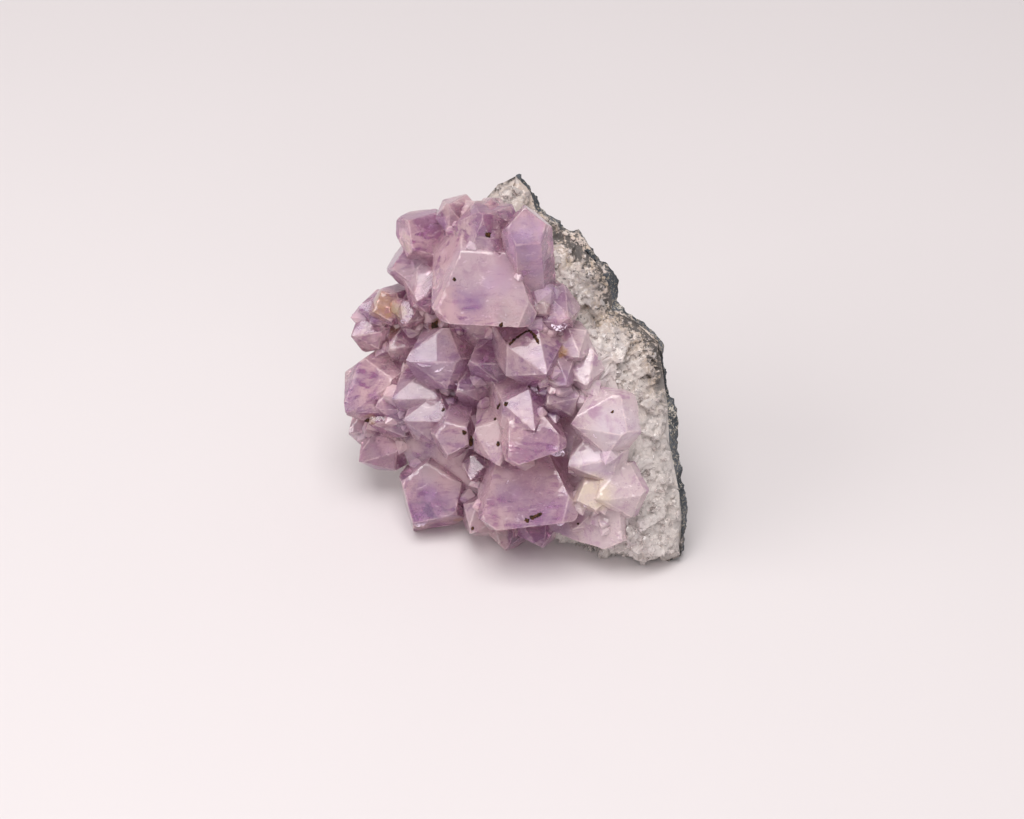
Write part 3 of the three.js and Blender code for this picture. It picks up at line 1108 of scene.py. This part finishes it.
class CLUSTER_OT_small_points(bpy.types.Operator):
    """Grow small points in the valleys and along the quartz"""

    bl_idname = "cluster.small_points"
    bl_label = "Small points"

    def execute(self, context):
        rng = random.Random(11)
        solid = welded_copy("amethyst_druse")
        valleys = [
            edge
            for edge in solid.edges
            if len(edge.link_faces) == 2
            and not edge.is_convex
            and edge.calc_face_angle() > math.radians(30)
            and height_above_back(middle(edge)) > QUARTZ_TOP
        ]
        bm = bmesh.new()
        lengths = [edge.calc_length() for edge in valleys]
        for edge in rng.choices(valleys, lengths, k=context.scene.cluster_amethyst.small_points):
            place = edge.verts[0].co.lerp(edge.verts[1].co, rng.random())
            out = sum((face.normal for face in edge.link_faces), Vector()).normalized()
            lean = Vector([rng.uniform(-0.45, 0.45) for _ in range(3)])
            axis = (out + 0.7 * GROWTH + lean).normalized()
            radius = rng.triangular(0.8, 2.8, 1.5) * MM
            length = radius * rng.uniform(1.2, 2.0)
            add_point(bm, place - axis * length, axis, radius, length, rng)
        solid.free()
        finish = amethyst_finish(context.scene.cluster_amethyst, "small amethyst", 0.45)
        make_piece(bm, "small_points", finish, 20)
        return {"FINISHED"}


# Healed cracks that show clearly: x and y in the face frame and the radius, in millimetres.
VEILS = [
    (-0.6, -23.8, 1.8),
    (0.8, -21.8, 1.4),
    (8.0, -17.0, 2.0),
    (6.0, -14.5, 1.3),
    (2.0, 26.5, 1.5),
    (3.4, 22.0, 2.2),
    (-18.5, 26.0, 1.7),
    (-5.0, 16.5, 2.0),
    (-22.0, -1.0, 1.8),
    (-17.0, -26.0, 1.6),
]


class CLUSTER_OT_veils(bpy.types.Operator):
    """Seal thin healed cracks inside the crystals"""

    bl_idname = "cluster.veils"
    bl_label = "Healed cracks"

    def execute(self, context):
        rng = random.Random(23)
        count = context.scene.cluster_amethyst.veils
        scattered = [
            (rng.uniform(-32, 18), rng.uniform(-38, 30), rng.uniform(0.8, 2.2)) for _ in range(count)
        ]
        skin = skin_of(bpy.data.objects["amethyst_points"].data)
        bm = bmesh.new()
        for x, y, radius in VEILS + scattered:
            place, normal = seen_at(skin, x, y)
            if place is None or height_above_back(place) < QUARTZ_TOP + 2 * MM:
                continue
            lean = Vector([rng.uniform(-0.6, 0.6) for _ in range(3)])
            centre = place - normal * (0.3 * radius + rng.uniform(0.3, 0.8)) * MM
            stretch = Matrix.Diagonal((1, rng.uniform(0.4, 0.9), 0.012, 1))
            turn = turn_to((normal + lean).normalized(), rng.uniform(0, math.tau))
            bend = noise.noise(centre / MM) * 0.5
            for vert in add_ball(bm, 3, radius, Matrix.Translation(centre) @ turn @ stretch):
                away = (vert.co - centre).length
                ripple = 0.25 * MM * noise.noise(vert.co / (1.5 * MM))
                vert.co += normal * (bend * away * away / (radius * MM) + ripple)
        make_piece(bm, "healed_cracks", veil_finish())
        return {"FINISHED"}


# The stage --------------------------------------------------------------------------------------------


# The soft lights: name, direction, distance, width and depth in metres, watts and colour.
LIGHTS = [
    ("overhead_softbox", (-0.06, -0.192, 0.98), 0.75, 0.52, 0.46, 4.75, (1.0, 0.975, 0.965)),
    ("front_softbox", (0.2, -0.92, 0.34), 0.9, 0.6, 0.4, 0.95, (1.0, 0.97, 0.96)),
    ("left_softbox", (-0.9, -0.25, 0.55), 0.9, 0.6, 0.6, 2.8, (1.0, 0.97, 0.96)),
]
AIR_COLOUR = (1.0, 0.965, 0.97, 1)
AIR_STRENGTH = 0.40
FLOOR_HALF = 2.5
NEAREST_SEEN = 0.01


def soft_light(name, direction, distance, width, depth, watts, colour):
    """A soft light that looks at the middle of the cluster, its width level."""
    lamp = bpy.data.lights.new(name, "AREA")
    lamp.shape = "RECTANGLE"
    lamp.size = width
    lamp.size_y = depth
    lamp.energy = watts
    lamp.color = colour
    away = Vector(direction).normalized()
    across = Vector((0, -1, 0)).cross(away).normalized()
    light = bpy.data.objects.new(name, lamp)
    light.location = VIEW_AIM + away * distance
    light.rotation_euler = Matrix((across, away.cross(across), away)).transposed().to_euler()
    bpy.context.scene.collection.objects.link(light)


class CLUSTER_OT_stage(bpy.types.Operator):
    """Lay the floor and set up the soft lights and the camera"""

    bl_idname = "cluster.stage"
    bl_label = "Studio"

    def execute(self, context):
        scene = context.scene
        bm = bmesh.new()
        bmesh.ops.create_grid(bm, x_segments=1, y_segments=1, size=FLOOR_HALF)
        mesh = bpy.data.meshes.new("studio_floor")
        bm.to_mesh(mesh)
        bm.free()
        mesh.materials.append(floor_finish())
        floor = bpy.data.objects.new("studio_floor", mesh)
        floor.location.z = LOW.z
        scene.collection.objects.link(floor)

        for light in LIGHTS:
            soft_light(*light)
        world = bpy.data.worlds.new("studio_air")
        world.use_nodes = True
        background = world.node_tree.nodes["Background"]
        background.inputs["Color"].default_value = AIR_COLOUR
        background.inputs["Strength"].default_value = AIR_STRENGTH
        scene.world = world

        lens = bpy.data.cameras.new("camera")
        lens.lens = VIEW_LENS
        lens.clip_start = NEAREST_SEEN
        camera = bpy.data.objects.new("camera", lens)
        camera.location = VIEW_AIM + FACE_OUT * VIEW_DISTANCE
        camera.rotation_euler = FACE_OUT.to_track_quat("Z", "Y").to_euler()
        scene.collection.objects.link(camera)
        scene.camera = camera
        scene.view_settings.view_transform = "Standard"
        return {"FINISHED"}


class CLUSTER_PT_panel(bpy.types.Panel):
    """The cluster's makers, in the 3D view's sidebar"""

    bl_idname = "CLUSTER_PT_panel"
    bl_label = "Amethyst Cluster"
    bl_space_type = "VIEW_3D"
    bl_region_type = "UI"
    bl_category = "Amethyst"

    def draw(self, context):
        for operator in OPERATORS:
            self.layout.operator(operator.bl_idname)


SETTINGS = {
    "cluster_amethyst": AmethystSettings,
    "cluster_quartz": QuartzSettings,
    "cluster_basalt": BasaltSettings,
}
OPERATORS = (
    CLUSTER_OT_amethyst,
    CLUSTER_OT_quartz,
    CLUSTER_OT_basalt,
    CLUSTER_OT_grains,
    CLUSTER_OT_iron,
    CLUSTER_OT_small_points,
    CLUSTER_OT_veils,
    CLUSTER_OT_stage,
)


def register():
    for kind in (*SETTINGS.values(), *OPERATORS, CLUSTER_PT_panel):
        bpy.utils.register_class(kind)
    for name, group in SETTINGS.items():
        setattr(bpy.types.Scene, name, bpy.props.PointerProperty(type=group))


def unregister():
    for name in SETTINGS:
        delattr(bpy.types.Scene, name)
    for kind in (CLUSTER_PT_panel, *reversed(OPERATORS), *SETTINGS.values()):
        bpy.utils.unregister_class(kind)


def main():
    register()
    bpy.ops.cluster.amethyst()
    bpy.ops.cluster.quartz()
    bpy.ops.cluster.basalt()
    bpy.ops.cluster.grains()
    bpy.ops.cluster.iron()
    bpy.ops.cluster.small_points()
    bpy.ops.cluster.veils()
    bpy.ops.cluster.stage()


if __name__ == "__main__":
    main()
